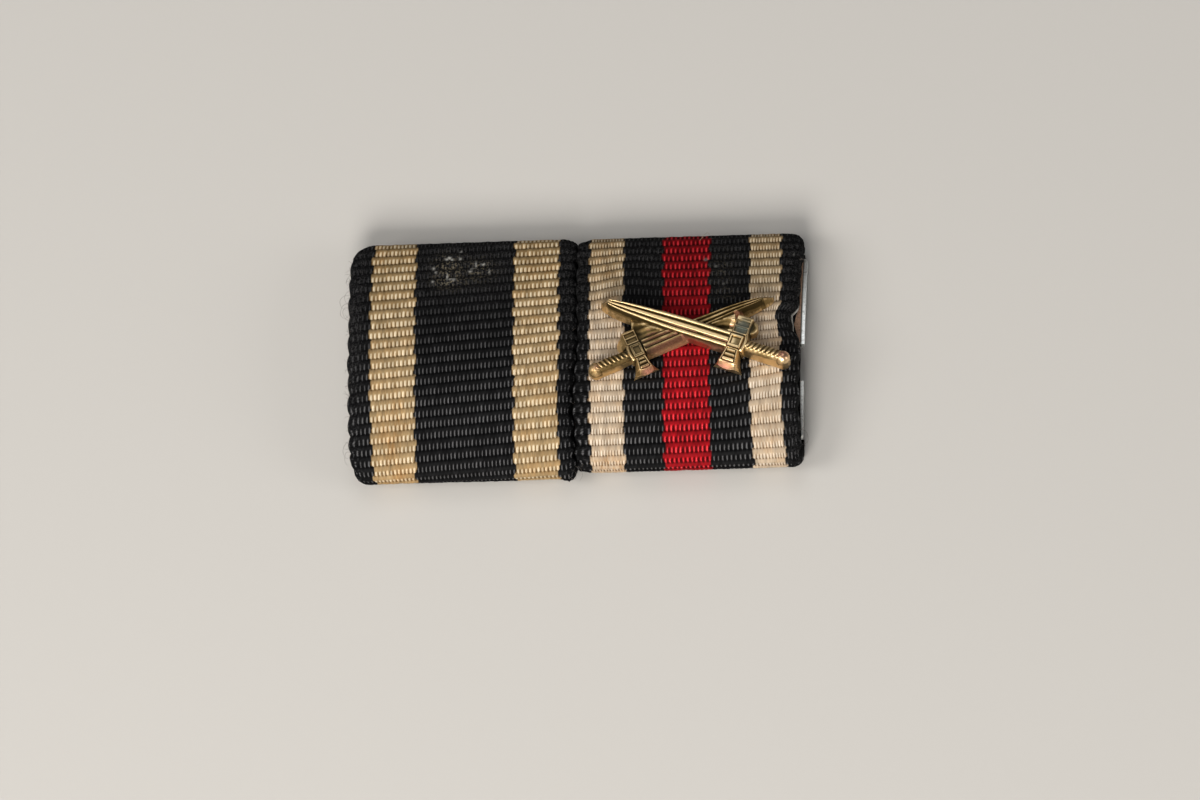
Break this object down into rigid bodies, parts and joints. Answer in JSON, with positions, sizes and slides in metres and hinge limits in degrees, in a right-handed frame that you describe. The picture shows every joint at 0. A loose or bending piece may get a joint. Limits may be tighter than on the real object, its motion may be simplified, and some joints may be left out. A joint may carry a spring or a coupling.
{
  "type": "ribbon bar",
  "caption": "Short ribbon bar: striped ribbons folded over an arched metal strip, with a crossed-swords device on the front and a pin with its catch on the back.",
  "frame": {"origin": "on the plane that the folded edges rest on, under the middle of the bar", "axes": "+X along the bar to the end with the swords, +Y up the bar, +Z out of the front face"},
  "size_m": [0.03, 0.017, 0.0051],
  "materials": {
    "ribbon_left_cloth": "ribbed weave, black with ivory stripes",
    "ribbon_right_cloth": "ribbed weave, black with ivory stripes and a red middle stripe",
    "rusty_strip": "rusty brown",
    "plate_metal": "dull with bright edges",
    "brass": "struck and tarnished",
    "pin_steel": "drawn wire"
  },
  "bodies": {
    "root": {"ribbon_left": "ribbon_left_cloth", "ribbon_right": "ribbon_right_cloth", "core_bar": "rusty_strip", "back_plate": "plate_metal", "swords": "brass", "pin": "pin_steel"}
  },
  "joints": []
}
